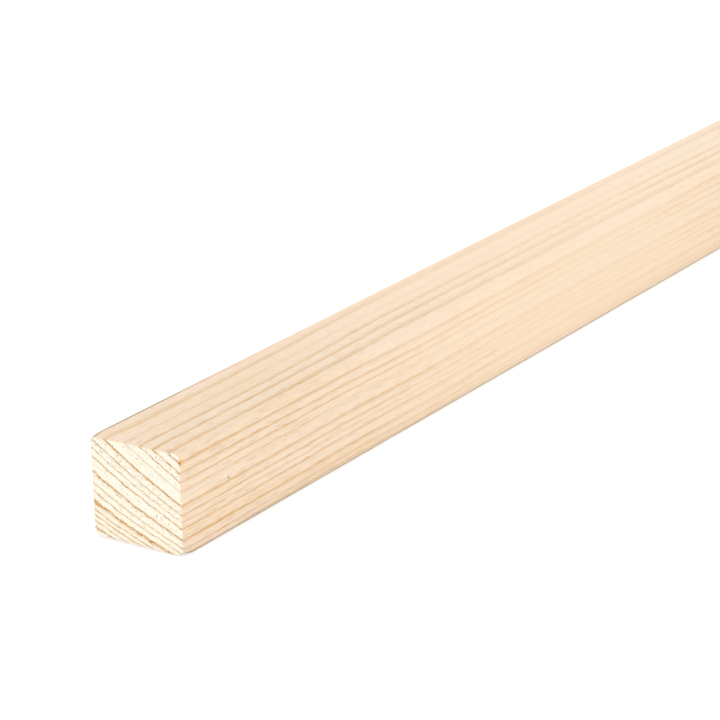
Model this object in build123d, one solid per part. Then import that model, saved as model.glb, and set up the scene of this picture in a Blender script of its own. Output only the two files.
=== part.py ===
"""A square planed softwood batten: one sawn-to-length piece, lying on one of its long faces.

The length runs along Y, the lower face lies on the floor at Z = 0, and the origin is in the
middle of that face.
"""
import os

from build123d import *

# Driving dimensions, in millimetres
SIDE = 34.0  # finished side of the square section
LENGTH = 900.0  # length between the two sawn ends
ARRIS_RADIUS = 1.0  # the four long arrises, eased after planing


def section():
    """Draw the square across the length, standing on Z = 0, with its four eased arrises."""
    across = Plane.XZ
    with BuildSketch(across) as square:
        with Locations((0, SIDE / 2)):
            Rectangle(SIDE, SIDE)
        fillet(square.vertices(), ARRIS_RADIUS)
    return square.sketch


def batten():
    """Run the section half the length each way from the middle of the batten."""
    return extrude(section(), amount=LENGTH / 2, both=True)


os.makedirs("parts", exist_ok=True)
export_step(batten(), "parts/timber_batten.step")
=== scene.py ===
import math

import bpy
import numpy as np
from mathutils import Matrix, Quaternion, Vector, noise


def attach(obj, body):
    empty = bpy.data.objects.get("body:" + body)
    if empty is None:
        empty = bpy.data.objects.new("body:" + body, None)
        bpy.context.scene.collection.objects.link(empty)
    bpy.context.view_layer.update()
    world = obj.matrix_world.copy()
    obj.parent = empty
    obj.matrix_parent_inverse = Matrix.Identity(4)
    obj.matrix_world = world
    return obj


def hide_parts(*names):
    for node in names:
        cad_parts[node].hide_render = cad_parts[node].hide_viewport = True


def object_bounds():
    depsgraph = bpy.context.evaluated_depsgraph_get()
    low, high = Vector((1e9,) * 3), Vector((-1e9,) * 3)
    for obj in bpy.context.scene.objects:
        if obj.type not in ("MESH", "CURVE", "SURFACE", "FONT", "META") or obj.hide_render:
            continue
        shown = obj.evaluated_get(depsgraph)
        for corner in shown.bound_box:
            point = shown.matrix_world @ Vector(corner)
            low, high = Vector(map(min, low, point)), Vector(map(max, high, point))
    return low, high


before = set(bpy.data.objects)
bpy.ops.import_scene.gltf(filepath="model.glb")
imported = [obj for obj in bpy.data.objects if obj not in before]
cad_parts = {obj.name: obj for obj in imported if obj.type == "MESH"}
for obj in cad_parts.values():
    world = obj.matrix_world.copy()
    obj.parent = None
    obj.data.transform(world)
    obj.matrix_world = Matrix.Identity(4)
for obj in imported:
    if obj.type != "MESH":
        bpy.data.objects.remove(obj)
cad_low, cad_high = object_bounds()

# Sizes in millimetres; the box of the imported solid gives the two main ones
MM = 0.001
SIDE = (cad_high.x - cad_low.x) / MM
LENGTH = (cad_high.y - cad_low.y) / MM
HALF = SIDE / 2
HALF_LENGTH = LENGTH / 2
ARRIS_RADIUS = 1.0

# Mesh: cells across a face, and the rows along the length, close together near the ends
FLAT_CELLS = 56
ARRIS_CELLS = 2
FIRST_ROW = 0.35
ROW_GROWTH = 1.07
WIDEST_ROW = 5.0
SHARP_ANGLE = math.radians(50)

# The two ends by the sign of y, the sides by the sign of x, upper and lower by the sign of z
NEAR, FAR = -1, 1
LEFT, RIGHT = -1, 1
LOWER, UPPER = -1, 1

# Knocked corners of the ends: which one, and how far the knock goes across, up and along
KNOCKS = [
    (NEAR, RIGHT, UPPER, 1.4, 1.4, 5.0),
    (NEAR, RIGHT, LOWER, 5.0, 0.6, 6.0),
    (NEAR, LEFT, UPPER, 0.2, 0.2, 4.0),
    (FAR, RIGHT, UPPER, 1.0, 0.8, 3.0),
    (FAR, LEFT, UPPER, 1.2, 1.8, 4.0),
    (FAR, LEFT, LOWER, 0.6, 0.6, 3.0),
]

# Worn edges of the ends: which one, the wear at its left, middle and right, and the reach along
WORN_EDGES = [
    (NEAR, UPPER, (0.6, 0.3, 0.0), 5.0),
    (NEAR, LOWER, (0.9, 0.7, 0.5), 5.0),
    (FAR, UPPER, (0.1, 0.3, 0.6), 5.0),
    (FAR, LOWER, (0.5, 0.7, 0.4), 5.0),
]

# Powers by which that wear falls off along the batten and away from the edge
EDGE_WEAR_POWER_ALONG = 2
EDGE_WEAR_POWER_UP = 4

# Uneven easing of the arrises and roughness of the sawn ends: amount, feature size and streaks
ARRIS_WEAR = 0.3
ARRIS_WEAR_SIZE = 18.0
SAW_ROUGHNESS = 0.12
SAW_ROUGHNESS_SIZE = 1.0
SAW_STREAK = 0.2

# Growth rings: height at which each one crosses the middle of the near end, darkness, width
RINGS = [
    (-7.0, 0.80, 0.8),
    (-4.6, 0.70, 0.8),
    (-2.1, 0.95, 0.8),
    (-0.4, 0.80, 0.7),
    (1.2, 0.75, 0.7),
    (2.7, 0.80, 0.7),
    (5.1, 1.00, 1.6),
    (7.6, 0.75, 0.7),
    (9.9, 0.70, 0.8),
    (13.2, 1.00, 1.1),
    (17.6, 0.95, 0.8),
    (20.2, 0.60, 0.7),
    (23.0, 0.90, 0.8),
    (26.8, 1.00, 1.3),
    (32.6, 0.40, 1.3),
    (36.7, 0.90, 0.9),
    (40.5, 1.00, 1.1),
    (45.1, 0.92, 1.5),
]

# Run of a ring's darkness: its power, and the shares of the width over which it deepens and ends
RING_SHARPNESS = 1.6
RING_FADE_IN = 1.4
RING_CUT_OFF = 0.5

# Slope and bend of the rings on the section: power of x, power of z, amount
RING_BENDS = [
    (1, 0, 0.517),
    (2, 0, 0.0023),
    (1, 1, 0.0120),
    (0, 2, 0.0036),
    (3, 0, 0.00005),
    (2, 1, 0.0001),
]

# Direction in which the rings run across the section
RING_RUN = (0.89, 0.0, -0.46)

# Dip of the rings at the upper left, and where it sets in: along, up and to the left
DIP_DEPTH = 1.5
DIP_ALONG = (-10, 15)
DIP_UP = (11, 17)
DIP_LEFT = (3, 10)

# Stations along the length, from the near end, and at each of them: the drift of the rings, how
# dark they are, and how wide; where they are wide, the wood is pale
STATIONS = np.array([0, 60, 90, 140, 200, 270, 430, 610, 770, 900])
UPPER_DRIFT = np.array([0.0, 0.0, 0.4, 1.5, 1.6, 1.7, 0.6, -0.8, 0.4, 1.2])
SIDE_DRIFT = np.array([-0.3, -0.7, -1.1, -0.8, -1.7, -2.2, -1.2, 0.8, -0.6, -1.4])
UPPER_CLARITY = np.array([1.05, 0.95, 0.85, 0.6, 0.42, 0.36, 0.65, 0.85, 0.75, 0.95])
SIDE_CLARITY = np.array([1.15, 1.0, 0.8, 0.46, 0.28, 0.2, 0.6, 0.9, 0.8, 1.0])
SPREAD = np.array([1.0, 1.0, 1.2, 1.6, 1.9, 2.0, 1.4, 1.0, 1.2, 1.0])

# Values of z - x between which the drift goes over from the side's to the upper face's
DRIFT_BLEND = (-18, 12)

# Fading of the rings to the left of the upper face, and the depths below a side between which
# its own darkness takes over
LEFT_FADE = 0.3
LEFT_FADE_RANGE = (-2, 10)
SIDE_DEPTHS = (1.0, 0.2)

# Painted shade along the arrises, for shade near the floor and where an edge turns away: depths
# below the faces at which it sets in and is full
LOWER_SHADE_UP = (1.0, 0.3)
LOWER_SHADE_IN = (1.5, 0.5)
LOW_BAND_SHADE_UP = (5.0, 0.0)
UPPER_SHADE_DOWN = (1.5, 0.5)
UPPER_SHADE_IN = (1.8, 1.0)

# Painted shade: distances from the near end over which it fades off the upper left arris, the faint
# band's strength, and its strength
UPPER_SHADE_ALONG = (20, 80)
LOW_BAND_SHADE = 0.15
ARRIS_SHADE_STRENGTH = 0.8

# Marks on the right side near the end: x, distance from the near end, height above the floor
BRUISE_PLACE = (HALF, 0.2, 31.2)
DARK_PIN_PLACE = (HALF, 24.7, 18.2)
FAINT_PIN_PLACE = (HALF, 56.2, 21.4)

# Their sizes the same way, and the share of the size within which a mark is full
BRUISE_SIZE = (0.6, 0.7, 0.9)
BRUISE_HALO_SIZE = (1.5, 2.2, 1.6)
PIN_SIZE = (0.4, 0.6, 0.4)
SPOT_CORE = 0.3

# Bake map: four strips for the long faces, one above the other, and two squares for the ends
MAP_MARGIN = 0.006
STRIP_HEIGHT = 0.145
END_SIZE = 0.38
END_LEFT = {NEAR: 0.01, FAR: 0.5}

# Colours, linear
PLANED_PALE = (0.94, 0.77, 0.60)
PLANED_WARM = (0.92, 0.72, 0.50)
PLANED_ROSE = (0.93, 0.73, 0.62)
PLANED_BLOND = (0.97, 0.775, 0.575)
PLANED_LINE = (0.67, 0.37, 0.10)
FIBRE = (0.72, 0.53, 0.36)
DARK_PIN = (0.12, 0.08, 0.02)
FAINT_PIN = (0.55, 0.42, 0.20)
# Cream of the end grain, partly painted light: lighter than end grain is, for the strong light on
# the end face
SAWN_PALE_AND_LIT = (0.98, 0.955, 0.835)
SAWN_WARM = (0.94, 0.80, 0.56)
SAWN_LINE = (0.66, 0.32, 0.07)
SAWN_BEAD = (0.42, 0.21, 0.08)
FLECK = (0.20, 0.08, 0.03)
BRUISE = (0.45, 0.19, 0.03)
BRUISE_HALO = (0.90, 0.52, 0.20)
# Painted shade along the arrises, brown
ARRIS_SHADE = (0.30, 0.21, 0.12)

# Usual range of a noise, how far above its threshold a peak is full, and two levels of detail
NOISE_RANGE = (0.3, 0.7)
PEAK_RISE = 0.25
USUAL_DETAIL = 2.0
FINE_DETAIL = 3.0

# Textures of the planed faces: size across and along the grain
PLANED_WAVES = (4, 90)
PLANED_RIPPLES = (0.25, 3)
PLANED_PATCHES = (4, 35)
PLANED_BREAKS = (0.6, 4)
BROAD_TONES = (7, 60)
WARM_STREAKS = (2.5, 10)
ROSE_STREAKS = (1.5, 6)
FIBRES = (0.4, 6)

# How far those textures go: shifts in millimetres, ranges, or a threshold and the most above it
PLANED_WAVE_SHIFT = 0.5
PLANED_RIPPLE_SHIFT = 0.35
PLANED_PATCH_RANGE = (0.6, 1.0)
PLANED_BREAK_RANGE = (0.6, 1.25)
WARM_PEAKS = (0.5, 0.4)
ROSE_PEAKS = (0.5, 0.7)
FIBRE_PEAKS = (0.47, 0.7)
BLOND_SPREADS = (1.0, 1.8)

# Surface of the planed faces: shine, the fibres' share in the relief, and its depth
PLANED_ROUGHNESS = (0.5, 0.66)
PLANED_SPECULAR = 0.3
FIBRE_RELIEF = 0.5
PLANED_RELIEF = 0.04

# Textures of the sawn ends: size each way, or thickness and run along the rings
SAWN_WAVES = (3, 3)
SAWN_RIPPLES = (0.6, 0.6)
SAWN_PATCHES = (3, 3)
SAWN_BEADS = (0.8, 0.8)
SAWN_FUZZ = (0.9, 0.9)
BROAD_STREAKS = (0.6, 5)
FINE_STREAKS = (0.4, 2.5)

# How far those textures go, as above
SAWN_WAVE_SHIFT = 0.5
SAWN_RIPPLE_SHIFT = 0.4
SAWN_PATCH_RANGE = (0.7, 1.2)
SAWN_BEAD_RANGE = (0.8, 1.4)
BEAD_PEAKS = (0.5, 1.0)
FUZZ_PEAKS = (0.5, 0.6)
BROAD_STREAK_PEAKS = (0.48, 0.8)
FINE_STREAK_PEAKS = (0.58, 0.8)

# Width of the ring lines on the sawn ends, against the listed one
SAWN_LINE_SPREAD = 0.76

# Surface of the sawn ends: shine and depth of the relief
SAWN_ROUGHNESS = 0.85
SAWN_SPECULAR = 0.2
SAWN_RELIEF = 0.08

# Tiny dark flecks on the sawn ends: their rows by ring height, and how far a row reaches
FLECK_ROWS = [11.8, 15.2, 20.3, 21.8, 24.2, 25.3, 30.5, 34.5, 38.5]
FLECK_ROW_REACH = (0.3, 0.8)

# Size of a cell that can hold a fleck, the fleck's core and edge in shares of it, the share of
# cells that hold one, and the darkness of the faintest
FLECK_CELL = 0.7
FLECK_RADII = (0.25, 0.48)
FLECK_SHARE = 0.6
FAINTEST_FLECK = 0.4

# Clumps of flecks: size each way, and a threshold and the most above it
FLECK_CLUMPS = (2.5, 2.5)
CLUMP_PEAKS = (0.35, 1.0)

# Studio: the floor's size, its colour for the light it throws back and as it is seen, its glow
# where it is seen, and the level of the light from all round
FLOOR_SIZE = 14.0
FLOOR_COLOUR = (0.86, 0.86, 0.86)
FLOOR_SEEN = (0.50, 0.50, 0.50)
FLOOR_GLOW = 0.64
WORLD_LEVEL = 0.83
WHITE = (1.0, 1.0, 1.0)
LAMPS = [
    # name, place, aim, size, watts
    ("key", (-0.7, -1.9, 0.8), (0, -0.3, 0), 1.2, 8.0),
    ("fill", (2.0, -0.6, 0.65), (0, -0.1, 0), 1.4, 10.5),
    ("back", (-0.6, 1.6, 0.4), (0, 0.4, 0), 0.8, 4.0),
]

# Camera, matched to the photograph
CAMERA_PLACE = Vector((0.53469, -1.12310, 0.36516))
CAMERA_AIM = Vector((-0.00906, -0.31161, 0.017))
CAMERA_ROLL = math.radians(-1.344)
CAMERA_LENS = 150.5

# Colour sockets of the Mix node
MIX_FIRST, MIX_SECOND, MIX_RESULT = 6, 7, 2


# Shape of the batten, about its own middle

def smooth_step(low, high, value):
    """Rise from 0 to 1 between two values, level at both."""
    share = np.clip((value - low) / (high - low), 0, 1)
    return share * share * (3 - 2 * share)


def smooth_through(values, at):
    """Read a curve that passes through the values at the stations and is level at each."""
    left = np.clip(np.searchsorted(STATIONS, at) - 1, 0, len(STATIONS) - 2)
    share = smooth_step(STATIONS[left], STATIONS[left + 1], at)
    return values[left] + (values[left + 1] - values[left]) * share


def noise_at(points, size):
    """Smooth noise, -1 to 1, with features of the given size."""
    return np.array([noise.noise(Vector(point / size)) for point in points])


def from_end(end, y):
    """Distance from one of the ends."""
    return HALF_LENGTH - end * y


def near_face(from_middle, sets_in, full):
    """Rise to 1 towards a face; the two depths below it say where the rise sets in and is full."""
    return smooth_step(HALF - sets_in, HALF - full, from_middle)


def across_stations():
    """Grid positions across a face: fine over the arrises and even over the flat."""
    flat = HALF - ARRIS_RADIUS
    arris = np.linspace(flat, HALF, ARRIS_CELLS + 1)[1:]
    middle = np.linspace(-flat, flat, FLAT_CELLS + 1)
    return np.concatenate([-arris[::-1], middle, arris])


def length_stations():
    """Rows along the length: fine near the sawn ends and coarse between."""
    rows = [-HALF_LENGTH]
    step = FIRST_ROW
    while step < WIDEST_ROW:
        rows.append(rows[-1] + step)
        step *= ROW_GROWTH
    count = round(-2 * rows[-1] / WIDEST_ROW)
    middle = np.linspace(rows[-1], -rows[-1], count + 1)[1:-1]
    return np.concatenate([rows, middle, -np.array(rows[::-1])])


def corner_radii(points):
    """Radii of the nearest arris, in x and z: eased all along, and more at the knocked corners."""
    x, y, z = points.T
    nearest_arris = np.stack([np.sign(x) * SIDE, y, np.sign(z) * SIDE], 1)
    radius_x = ARRIS_RADIUS + ARRIS_WEAR * np.clip(noise_at(nearest_arris, ARRIS_WEAR_SIZE), 0, 1)
    radius_z = radius_x.copy()
    for end, side, level, across, up, along in KNOCKS:
        here = (np.sign(x) == side) & (np.sign(z) == level)
        share = here * (1 - smooth_step(0, along, from_end(end, y)))
        radius_x += across * share
        radius_z += up * share
    return radius_x, radius_z


def ease_arrises(points):
    """Carry points of the sharp-edged bar onto the bar with eased arrises."""
    radius_x, radius_z = corner_radii(points)
    x, y, z = points.T
    u = np.clip((np.abs(x) - HALF) / radius_x + 1, 0, 1)
    v = np.clip((np.abs(z) - HALF) / radius_z + 1, 0, 1)
    in_x = np.abs(x) - radius_x * u * (1 - np.sqrt(1 - v * v / 2))
    in_z = np.abs(z) - radius_z * v * (1 - np.sqrt(1 - u * u / 2))
    return np.stack([np.sign(x) * in_x, y, np.sign(z) * in_z], 1)


def wear_end_edges(points):
    """Take down the upper and lower edges of the ends, most at the very end."""
    x, y, z = points.T
    for end, level, wear, along in WORN_EDGES:
        toward_end = np.clip(1 - from_end(end, y) / along, 0, 1) ** EDGE_WEAR_POWER_ALONG
        toward_edge = np.clip(level * z / HALF, 0, 1) ** EDGE_WEAR_POWER_UP
        z = z - level * np.interp(x, [-HALF, 0, HALF], wear) * toward_end * toward_edge
    return np.stack([x, y, z], 1)


def roughen_ends(points):
    """Sink the sawn ends by a fine uneven depth, so that their edges come out slightly ragged."""
    at_end = np.abs(points[:, 1]) > HALF_LENGTH - FIRST_ROW / 2
    sawn = points[at_end]
    grains = noise_at(sawn, SAW_ROUGHNESS_SIZE)
    upright_streaks = noise_at(sawn * np.array([1, 1, SAW_STREAK]), SAW_ROUGHNESS_SIZE)
    depth = np.abs(grains) + np.abs(upright_streaks)
    points[at_end, 1] -= np.sign(sawn[:, 1]) * SAW_ROUGHNESS * depth
    return points


def section_loop(cells):
    """Grid corners round the section: along the lower face, up, back along the upper face, down."""
    loop = [(step, 0) for step in range(cells)]
    loop += [(cells, step) for step in range(cells)]
    loop += [(cells - step, cells) for step in range(cells)]
    loop += [(0, cells - step) for step in range(cells)]
    return loop


def strip_place(face, across, along):
    """Place on the bake map of a point of a long face."""
    low = MAP_MARGIN + face * (STRIP_HEIGHT + MAP_MARGIN)
    u = MAP_MARGIN + (1 - 2 * MAP_MARGIN) * (along / LENGTH + 0.5)
    return u, low + STRIP_HEIGHT * (across / SIDE + 0.5)


def end_place(end, x, z):
    """Place on the bake map of a point of a sawn end."""
    low = 4 * STRIP_HEIGHT + 6 * MAP_MARGIN
    return END_LEFT[end] + END_SIZE * (x / SIDE + 0.5), low + END_SIZE * (z / SIDE + 0.5)


def long_faces(across, rows):
    """Faces of the long sides, row by row round the section, and their places on the bake map."""
    cells = len(across) - 1
    around = 4 * cells
    corners = ((0, 0), (0, 1), (1, 1), (1, 0))
    faces, places = [], []
    for row in range(len(rows) - 1):
        here, beyond = row * around, (row + 1) * around
        for first in range(around):
            second = (first + 1) % around
            faces.append((here + first, beyond + first, beyond + second, here + second))
            face, step = divmod(first, cells)
            places.append([strip_place(face, across[step + i], rows[row + k]) for i, k in corners])
    return faces, places


def end_faces(end, across, number):
    """Faces of one sawn end and their places on the bake map; number gives each corner's point."""
    cells = len(across) - 1
    faces, places = [], []
    for k in range(cells):
        for i in range(cells):
            corners = [(i, k), (i + 1, k), (i + 1, k + 1), (i, k + 1)]
            if end == FAR:
                corners.reverse()
            faces.append([number[corner] for corner in corners])
            places.append([end_place(end, across[right], across[up]) for right, up in corners])
    return faces, places


def bar_grid():
    """Points, faces, face kinds and bake map of a closed bar with sharp edges."""
    across = across_stations()
    rows = length_stations()
    cells = len(across) - 1
    loop = section_loop(cells)
    points = [(across[i], y, across[k]) for y in rows for i, k in loop]
    faces, places = long_faces(across, rows)
    on_end = [False] * len(faces)
    for end, row in ((NEAR, 0), (FAR, len(rows) - 1)):
        number = {corner: row * len(loop) + count for count, corner in enumerate(loop)}
        for k in range(1, cells):
            for i in range(1, cells):
                number[i, k] = len(points)
                points.append((across[i], rows[row], across[k]))
        sawn_faces, sawn_places = end_faces(end, across, number)
        faces += sawn_faces
        places += sawn_places
        on_end += [True] * len(sawn_faces)
    return np.array(points), faces, on_end, places


# Values that the materials read from the mesh

def ring_height(points):
    """Height at which the growth ring through a point crosses the middle of the near end."""
    x, y, z = points.T
    along = from_end(NEAR, y)
    height = z + HALF + sum(amount * x**in_x * z**in_z for in_x, in_z, amount in RING_BENDS)
    dip = smooth_step(*DIP_ALONG, along) * smooth_step(*DIP_UP, z) * smooth_step(*DIP_LEFT, -x)
    upper = smooth_through(UPPER_DRIFT, along)
    side = smooth_through(SIDE_DRIFT, along)
    drift = side + (upper - side) * smooth_step(*DRIFT_BLEND, z - x)
    return height - DIP_DEPTH * dip + drift


def ring_clarity(points):
    """How dark the growth rings are on the long faces: fading to the left of the upper one."""
    x, y = points[:, 0], points[:, 1]
    along = from_end(NEAR, y)
    fade = 1 - LEFT_FADE * smooth_step(*LEFT_FADE_RANGE, -x)
    upper = smooth_through(UPPER_CLARITY, along) * fade
    side = smooth_through(SIDE_CLARITY, along)
    return upper + (side - upper) * near_face(np.abs(x), *SIDE_DEPTHS)


def ring_spread(points):
    """How wide the growth rings are on the long faces, against their width at the near end."""
    return smooth_through(SPREAD, from_end(NEAR, points[:, 1]))


def shade_on_arrises(grid_points):
    """Weight of the painted shade: on the lower arrises, faintly above them, and on the upper left
    one.
    """
    x, y, z = grid_points.T
    lower = near_face(-z, *LOWER_SHADE_UP) * near_face(np.abs(x), *LOWER_SHADE_IN)
    low_band = LOW_BAND_SHADE * near_face(-z, *LOW_BAND_SHADE_UP)
    upper_left = near_face(z, *UPPER_SHADE_DOWN) * near_face(-x, *UPPER_SHADE_IN)
    upper_left *= 1 - smooth_step(*UPPER_SHADE_ALONG, from_end(NEAR, y))
    return np.maximum(np.maximum(lower, low_band), upper_left)


def add_values(mesh, name, values):
    """Store one number a vertex."""
    layer = mesh.attributes.new(name, "FLOAT", "POINT")
    layer.data.foreach_set("value", np.asarray(values, dtype=np.float32))


def make_batten(planed, sawn):
    """Build the whole batten as one closed mesh."""
    grid_points, faces, on_end, places = bar_grid()
    eased_points = ease_arrises(grid_points)
    points = roughen_ends(wear_end_edges(eased_points))
    mesh = bpy.data.meshes.new("batten")
    mesh.from_pydata((points + np.array([0, 0, HALF])) * MM, [], faces)
    mesh.materials.append(planed)
    mesh.materials.append(sawn)
    mesh.polygons.foreach_set("material_index", np.array(on_end, dtype=np.int32))
    mesh.polygons.foreach_set("use_smooth", np.ones(len(faces), dtype=bool))
    mesh.set_sharp_from_angle(angle=SHARP_ANGLE)
    bake_map = mesh.uv_layers.new(name="OFBake")
    bake_map.data.foreach_set("uv", np.array(places, dtype=np.float32).ravel())
    add_values(mesh, "ring_height", ring_height(eased_points))
    add_values(mesh, "clarity", ring_clarity(points))
    add_values(mesh, "spread", ring_spread(points))
    # Weights of the painted shade along the arrises
    add_values(mesh, "painted_shade", shade_on_arrises(grid_points))
    batten = bpy.data.objects.new("batten", mesh)
    bpy.context.scene.collection.objects.link(batten)
    return batten


# Nodes of the materials

def feed(tree, socket, value):
    """Link a socket to another node's output, or set it to a plain value."""
    if isinstance(value, bpy.types.NodeSocket):
        tree.links.new(value, socket)
    elif socket.type == "RGBA":
        socket.default_value = (*value, 1)
    else:
        socket.default_value = value


def math_node(tree, operation, first, second=0.0):
    """One sum or comparison."""
    node = tree.nodes.new("ShaderNodeMath")
    node.operation = operation
    feed(tree, node.inputs[0], first)
    feed(tree, node.inputs[1], second)
    return node.outputs[0]


def multiply(tree, *values):
    """The product of several values."""
    product = values[0]
    for value in values[1:]:
        product = math_node(tree, "MULTIPLY", product, value)
    return product


def vector_node(tree, operation, first, second=(0, 0, 0), output="Vector"):
    """One sum on vectors."""
    node = tree.nodes.new("ShaderNodeVectorMath")
    node.operation = operation
    feed(tree, node.inputs[0], first)
    feed(tree, node.inputs[1], second)
    return node.outputs[output]


def ramp(tree, value, low, high, at_low=0.0, at_high=1.0):
    """Carry one range of values onto another, held at its ends."""
    node = tree.nodes.new("ShaderNodeMapRange")
    for socket, number in zip(node.inputs, (value, low, high, at_low, at_high)):
        feed(tree, socket, number)
    return node.outputs[0]


def between(tree, noise_value, least, most):
    """Stretch a noise to run from least to most."""
    return ramp(tree, noise_value, *NOISE_RANGE, least, most)


def peaks(tree, noise_value, threshold, most):
    """Keep only the peaks of a noise: nothing below the threshold, and up to most above it."""
    return ramp(tree, noise_value, threshold, threshold + PEAK_RISE, 0, most)


def mix(tree, share, first, second):
    """Go from the first colour to the second."""
    node = tree.nodes.new("ShaderNodeMix")
    node.data_type = "RGBA"
    feed(tree, node.inputs["Factor"], share)
    feed(tree, node.inputs[MIX_FIRST], first)
    feed(tree, node.inputs[MIX_SECOND], second)
    return node.outputs[MIX_RESULT]


def value_of(tree, name):
    """One of the numbers stored on the mesh."""
    node = tree.nodes.new("ShaderNodeAttribute")
    node.attribute_name = name
    return node.outputs["Fac"]


def place(tree, across, along):
    """The point's place, in steps of the given sizes across and along the length."""
    where = tree.nodes.new("ShaderNodeTexCoord").outputs["Object"]
    return vector_node(tree, "DIVIDE", where, Vector((across, along, across)) * MM)


def spot(tree, centre, size):
    """1 at a mark and 0 from the given sizes away; the mark's y is measured from the near end."""
    where = tree.nodes.new("ShaderNodeTexCoord").outputs["Object"]
    middle = (Vector(centre) - Vector((0, HALF_LENGTH, 0))) * MM
    away = vector_node(tree, "SUBTRACT", where, middle)
    away = vector_node(tree, "DIVIDE", away, Vector(size) * MM)
    return ramp(tree, vector_node(tree, "LENGTH", away, output="Value"), SPOT_CORE, 1, 1, 0)


def noise_node(tree, vector, detail=USUAL_DETAIL):
    """Noise, 0 to 1, with features about as large as one step of the vector."""
    node = tree.nodes.new("ShaderNodeTexNoise")
    node.inputs["Scale"].default_value = 1
    node.inputs["Detail"].default_value = detail
    tree.links.new(vector, node.inputs["Vector"])
    return node.outputs[0]


def cloud(tree, across, along, detail=USUAL_DETAIL):
    """Noise, 0 to 1, with features of the given sizes."""
    return noise_node(tree, place(tree, across, along), detail)


def wavering(tree, height, wave, shift):
    """Move the ring height by a noise, up or down by at most half the shift."""
    return math_node(tree, "ADD", height, between(tree, wave, -shift / 2, shift / 2))


def latewood(tree, height, spread):
    """Darkness of the growth rings: each one deepens slowly and ends at once."""
    darkest = 0.0
    for level, dark, width in RINGS:
        peak = dark ** (1 / RING_SHARPNESS)
        away = math_node(tree, "DIVIDE", math_node(tree, "SUBTRACT", height, level), spread)
        deepening = ramp(tree, away, -RING_FADE_IN * width, 0, 0, peak)
        ending = ramp(tree, away, 0, RING_CUT_OFF * width, peak, 0)
        line = math_node(tree, "MINIMUM", deepening, ending)
        darkest = math_node(tree, "MAXIMUM", line, darkest)
    return math_node(tree, "POWER", darkest, RING_SHARPNESS)


def ring_streaks(tree, height, thickness, run):
    """Noise, 0 to 1, in thin streaks that follow the growth rings on the sawn ends."""
    reach = vector_node(tree, "DOT_PRODUCT", place(tree, run, run), RING_RUN, "Value")
    along_rings = tree.nodes.new("ShaderNodeCombineXYZ")
    feed(tree, along_rings.inputs[0], math_node(tree, "DIVIDE", height, thickness))
    feed(tree, along_rings.inputs[1], reach)
    return noise_node(tree, along_rings.outputs[0])


def fleck_rows(tree, height):
    """1 in the rows that hold flecks, and 0 between them."""
    rows = 0.0
    for level in FLECK_ROWS:
        away = math_node(tree, "ABSOLUTE", math_node(tree, "SUBTRACT", height, level))
        rows = math_node(tree, "MAXIMUM", ramp(tree, away, *FLECK_ROW_REACH, 1, 0), rows)
    return rows


def flecks(tree, height):
    """Tiny dark dots in the fleck rows: a share of the cells holds one, more or less dark."""
    cells = tree.nodes.new("ShaderNodeTexVoronoi")
    cells.inputs["Scale"].default_value = 1
    tree.links.new(place(tree, FLECK_CELL, FLECK_CELL), cells.inputs["Vector"])
    dots = ramp(tree, cells.outputs["Distance"], *FLECK_RADII, 1, 0)
    chance = tree.nodes.new("ShaderNodeSeparateColor")
    tree.links.new(cells.outputs["Color"], chance.inputs[0])
    chosen = math_node(tree, "GREATER_THAN", chance.outputs[0], 1 - FLECK_SHARE)
    strength = ramp(tree, chance.outputs[1], 0, 1, FAINTEST_FLECK, 1)
    clumps = peaks(tree, cloud(tree, *FLECK_CLUMPS), *CLUMP_PEAKS)
    return multiply(tree, dots, chosen, strength, clumps, fleck_rows(tree, height))


def new_material(name):
    """An empty material with its surface shader."""
    material = bpy.data.materials.new(name)
    material.use_nodes = True
    tree = material.node_tree
    shader = tree.nodes["Principled BSDF"]
    return material, tree, shader


def add_bump(tree, shader, height, depth):
    """Raise the surface by a fine relief of the given depth."""
    node = tree.nodes.new("ShaderNodeBump")
    node.inputs["Strength"].default_value = 1
    node.inputs["Distance"].default_value = depth * MM
    tree.links.new(height, node.inputs["Height"])
    tree.links.new(node.outputs[0], shader.inputs["Normal"])


def add_marks_and_shade(tree, colour):
    """Put the painted shade along the arrises, the two pin marks and the bruise over the planed
    wood's colour.
    """
    colour = mix(tree, spot(tree, DARK_PIN_PLACE, PIN_SIZE), colour, DARK_PIN)
    colour = mix(tree, spot(tree, FAINT_PIN_PLACE, PIN_SIZE), colour, FAINT_PIN)
    # Painted shade on the lower arrises, faintly above them and on the upper left arris
    colour = mix(tree, multiply(tree, value_of(tree, "painted_shade"), ARRIS_SHADE_STRENGTH), colour, ARRIS_SHADE)
    colour = mix(tree, spot(tree, BRUISE_PLACE, BRUISE_HALO_SIZE), colour, BRUISE_HALO)
    return mix(tree, spot(tree, BRUISE_PLACE, BRUISE_SIZE), colour, BRUISE)


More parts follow.
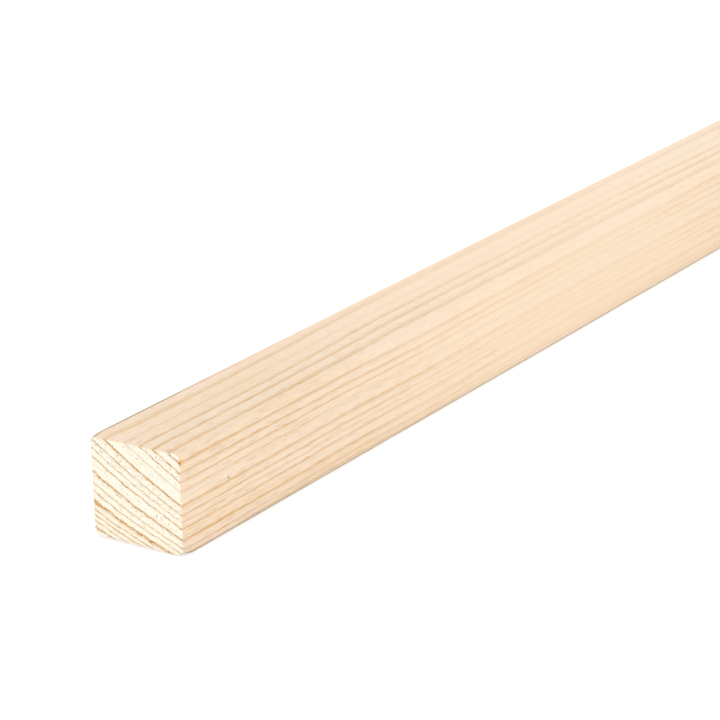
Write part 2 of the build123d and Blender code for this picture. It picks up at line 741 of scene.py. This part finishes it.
def planed_wood():
    """The long faces: pale softwood with soft tan ring lines and fine fibres."""
    material, tree, shader = new_material("planed_softwood")
    height = value_of(tree, "ring_height")
    height = wavering(tree, height, cloud(tree, *PLANED_WAVES), PLANED_WAVE_SHIFT)
    height = wavering(tree, height, cloud(tree, *PLANED_RIPPLES), PLANED_RIPPLE_SHIFT)
    patches = between(tree, cloud(tree, *PLANED_PATCHES), *PLANED_PATCH_RANGE)
    breaks = between(tree, cloud(tree, *PLANED_BREAKS), *PLANED_BREAK_RANGE)
    clarity = value_of(tree, "clarity")
    spread = value_of(tree, "spread")
    lines = multiply(tree, latewood(tree, height, spread), patches, breaks, clarity)
    fibres = cloud(tree, *FIBRES, FINE_DETAIL)
    fibre_lines = multiply(tree, peaks(tree, fibres, *FIBRE_PEAKS), clarity)
    colour = mix(tree, between(tree, cloud(tree, *BROAD_TONES), 0, 1), PLANED_PALE, PLANED_WARM)
    colour = mix(tree, peaks(tree, cloud(tree, *WARM_STREAKS), *WARM_PEAKS), colour, PLANED_WARM)
    colour = mix(tree, peaks(tree, cloud(tree, *ROSE_STREAKS), *ROSE_PEAKS), colour, PLANED_ROSE)
    colour = mix(tree, ramp(tree, spread, *BLOND_SPREADS), colour, PLANED_BLOND)
    colour = mix(tree, fibre_lines, colour, FIBRE)
    colour = mix(tree, lines, colour, PLANED_LINE)
    feed(tree, shader.inputs["Base Color"], add_marks_and_shade(tree, colour))
    feed(tree, shader.inputs["Roughness"], between(tree, fibres, *PLANED_ROUGHNESS))
    shader.inputs["Specular IOR Level"].default_value = PLANED_SPECULAR
    relief = math_node(tree, "ADD", multiply(tree, fibres, FIBRE_RELIEF), lines)
    add_bump(tree, shader, relief, PLANED_RELIEF)
    return material


def sawn_wood():
    """The ends: cream end grain, its paleness partly painted light, with sharp orange-brown ring
    lines, flecks and saw fuzz.
    """
    material, tree, shader = new_material("sawn_softwood")
    height = value_of(tree, "ring_height")
    height = wavering(tree, height, cloud(tree, *SAWN_WAVES), SAWN_WAVE_SHIFT)
    height = wavering(tree, height, cloud(tree, *SAWN_RIPPLES), SAWN_RIPPLE_SHIFT)
    patches = between(tree, cloud(tree, *SAWN_PATCHES), *SAWN_PATCH_RANGE)
    beads = cloud(tree, *SAWN_BEADS)
    beading = between(tree, beads, *SAWN_BEAD_RANGE)
    lines = multiply(tree, latewood(tree, height, SAWN_LINE_SPREAD), patches, beading)
    line_colour = mix(tree, peaks(tree, beads, *BEAD_PEAKS), SAWN_LINE, SAWN_BEAD)
    fuzz = cloud(tree, *SAWN_FUZZ, FINE_DETAIL)
    broad_streaks = peaks(tree, ring_streaks(tree, height, *BROAD_STREAKS), *BROAD_STREAK_PEAKS)
    fine_streaks = peaks(tree, ring_streaks(tree, height, *FINE_STREAKS), *FINE_STREAK_PEAKS)
    # End grain's cream, partly painted light on the end face
    colour = mix(tree, peaks(tree, fuzz, *FUZZ_PEAKS), SAWN_PALE_AND_LIT, SAWN_WARM)
    colour = mix(tree, broad_streaks, colour, SAWN_WARM)
    colour = mix(tree, fine_streaks, colour, SAWN_LINE)
    colour = mix(tree, lines, colour, line_colour)
    colour = mix(tree, flecks(tree, height), colour, FLECK)
    colour = mix(tree, spot(tree, BRUISE_PLACE, BRUISE_SIZE), colour, BRUISE)
    feed(tree, shader.inputs["Base Color"], colour)
    shader.inputs["Roughness"].default_value = SAWN_ROUGHNESS
    shader.inputs["Specular IOR Level"].default_value = SAWN_SPECULAR
    add_bump(tree, shader, math_node(tree, "ADD", fuzz, lines), SAWN_RELIEF)
    return material


# Studio

def seen_directly(tree):
    """1 for the rays that look straight, or by a reflection, at the background."""
    path = tree.nodes.new("ShaderNodeLightPath")
    seen = math_node(tree, "MAXIMUM", path.outputs["Is Camera Ray"], path.outputs["Is Glossy Ray"])
    return math_node(tree, "MAXIMUM", seen, path.outputs["Is Transmission Ray"])


def make_floor():
    """A pale floor that looks white and keeps the batten's soft shadow."""
    half = FLOOR_SIZE / 2
    mesh = bpy.data.meshes.new("floor")
    corners = [(-half, -half, 0), (half, -half, 0), (half, half, 0), (-half, half, 0)]
    mesh.from_pydata(corners, [], [(0, 1, 2, 3)])
    floor = bpy.data.objects.new("floor", mesh)
    bpy.context.scene.collection.objects.link(floor)
    material, tree, shader = new_material("pale_floor")
    seen = seen_directly(tree)
    feed(tree, shader.inputs["Base Color"], mix(tree, seen, FLOOR_COLOUR, FLOOR_SEEN))
    shader.inputs["Roughness"].default_value = 1
    shader.inputs["Specular IOR Level"].default_value = 0
    feed(tree, shader.inputs["Emission Color"], WHITE)
    feed(tree, shader.inputs["Emission Strength"], multiply(tree, seen, FLOOR_GLOW))
    mesh.materials.append(material)


def make_world():
    """Even white light from all round, on a white background."""
    world = bpy.data.worlds.new("studio")
    world.use_nodes = True
    tree = world.node_tree
    background = tree.nodes["Background"]
    feed(tree, background.inputs["Color"], WHITE)
    feed(tree, background.inputs["Strength"], ramp(tree, seen_directly(tree), 0, 1, WORLD_LEVEL, 1))
    bpy.context.scene.world = world


def facing(position, aim):
    """The turn that makes a lamp or camera at a position look at a point."""
    return (Vector(aim) - Vector(position)).to_track_quat("-Z", "Y")


def add_lamp(name, position, aim, size, watts):
    """A square soft lamp that faces a point."""
    data = bpy.data.lights.new(name, "AREA")
    data.size = size
    data.energy = watts
    lamp = bpy.data.objects.new(name, data)
    lamp.location = position
    lamp.rotation_mode = "QUATERNION"
    lamp.rotation_quaternion = facing(position, aim)
    bpy.context.scene.collection.objects.link(lamp)


def make_camera():
    """The photograph's view."""
    data = bpy.data.cameras.new("camera")
    data.lens = CAMERA_LENS
    camera = bpy.data.objects.new("camera", data)
    camera.location = CAMERA_PLACE
    camera.rotation_mode = "QUATERNION"
    roll = Quaternion((0, 0, 1), CAMERA_ROLL)
    camera.rotation_quaternion = facing(CAMERA_PLACE, CAMERA_AIM) @ roll
    bpy.context.scene.collection.objects.link(camera)
    bpy.context.scene.camera = camera


batten = make_batten(planed_wood(), sawn_wood())
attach(batten, "root")
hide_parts("timber_batten")

make_floor()
make_world()
for lamp in LAMPS:
    add_lamp(*lamp)
make_camera()
bpy.context.scene.view_settings.view_transform = "Standard"
